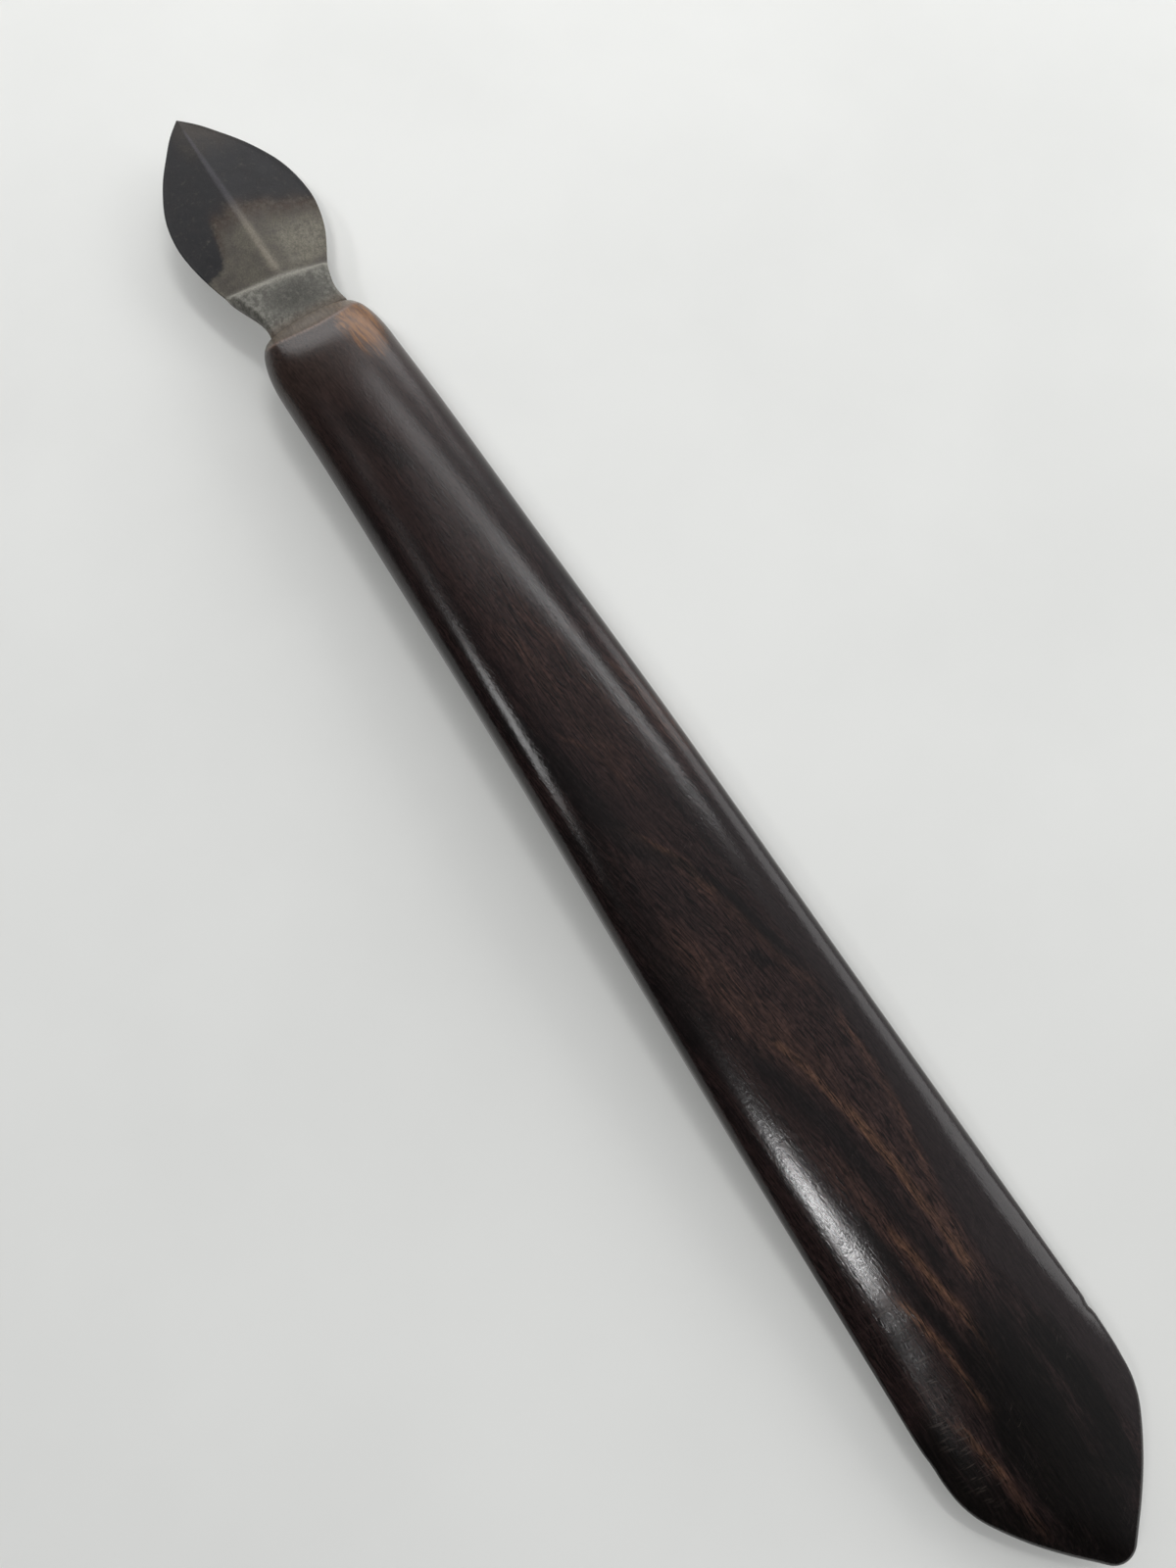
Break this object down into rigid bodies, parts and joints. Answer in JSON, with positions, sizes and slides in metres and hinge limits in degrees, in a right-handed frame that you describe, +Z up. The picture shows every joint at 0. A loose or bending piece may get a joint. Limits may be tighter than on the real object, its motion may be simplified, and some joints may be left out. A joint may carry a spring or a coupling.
{
  "type": "wooden paper folder with erasing blade",
  "caption": "Flat dark-wood paper folder with a blunt pointed creasing end, and a leaf-shaped steel scraping blade set in its narrow end.",
  "frame": {"origin": "on the table plane, under the middle of the whole tool", "axes": "+X along the tool towards the point of the blade, +Z up, out of the face that the tool rests on"},
  "size_m": [0.178, 0.0206, 0.0084],
  "materials": {
    "wood": "dark close-grained rosewood, handled to a satin polish",
    "steel": "old forged steel, blue-black and brown patina, fine pitting",
    "resin": "dark brittle cutler's resin"
  },
  "bodies": {
    "root": {"handle": "wood", "blade": "steel", "tang_bedding": "resin"}
  },
  "joints": []
}
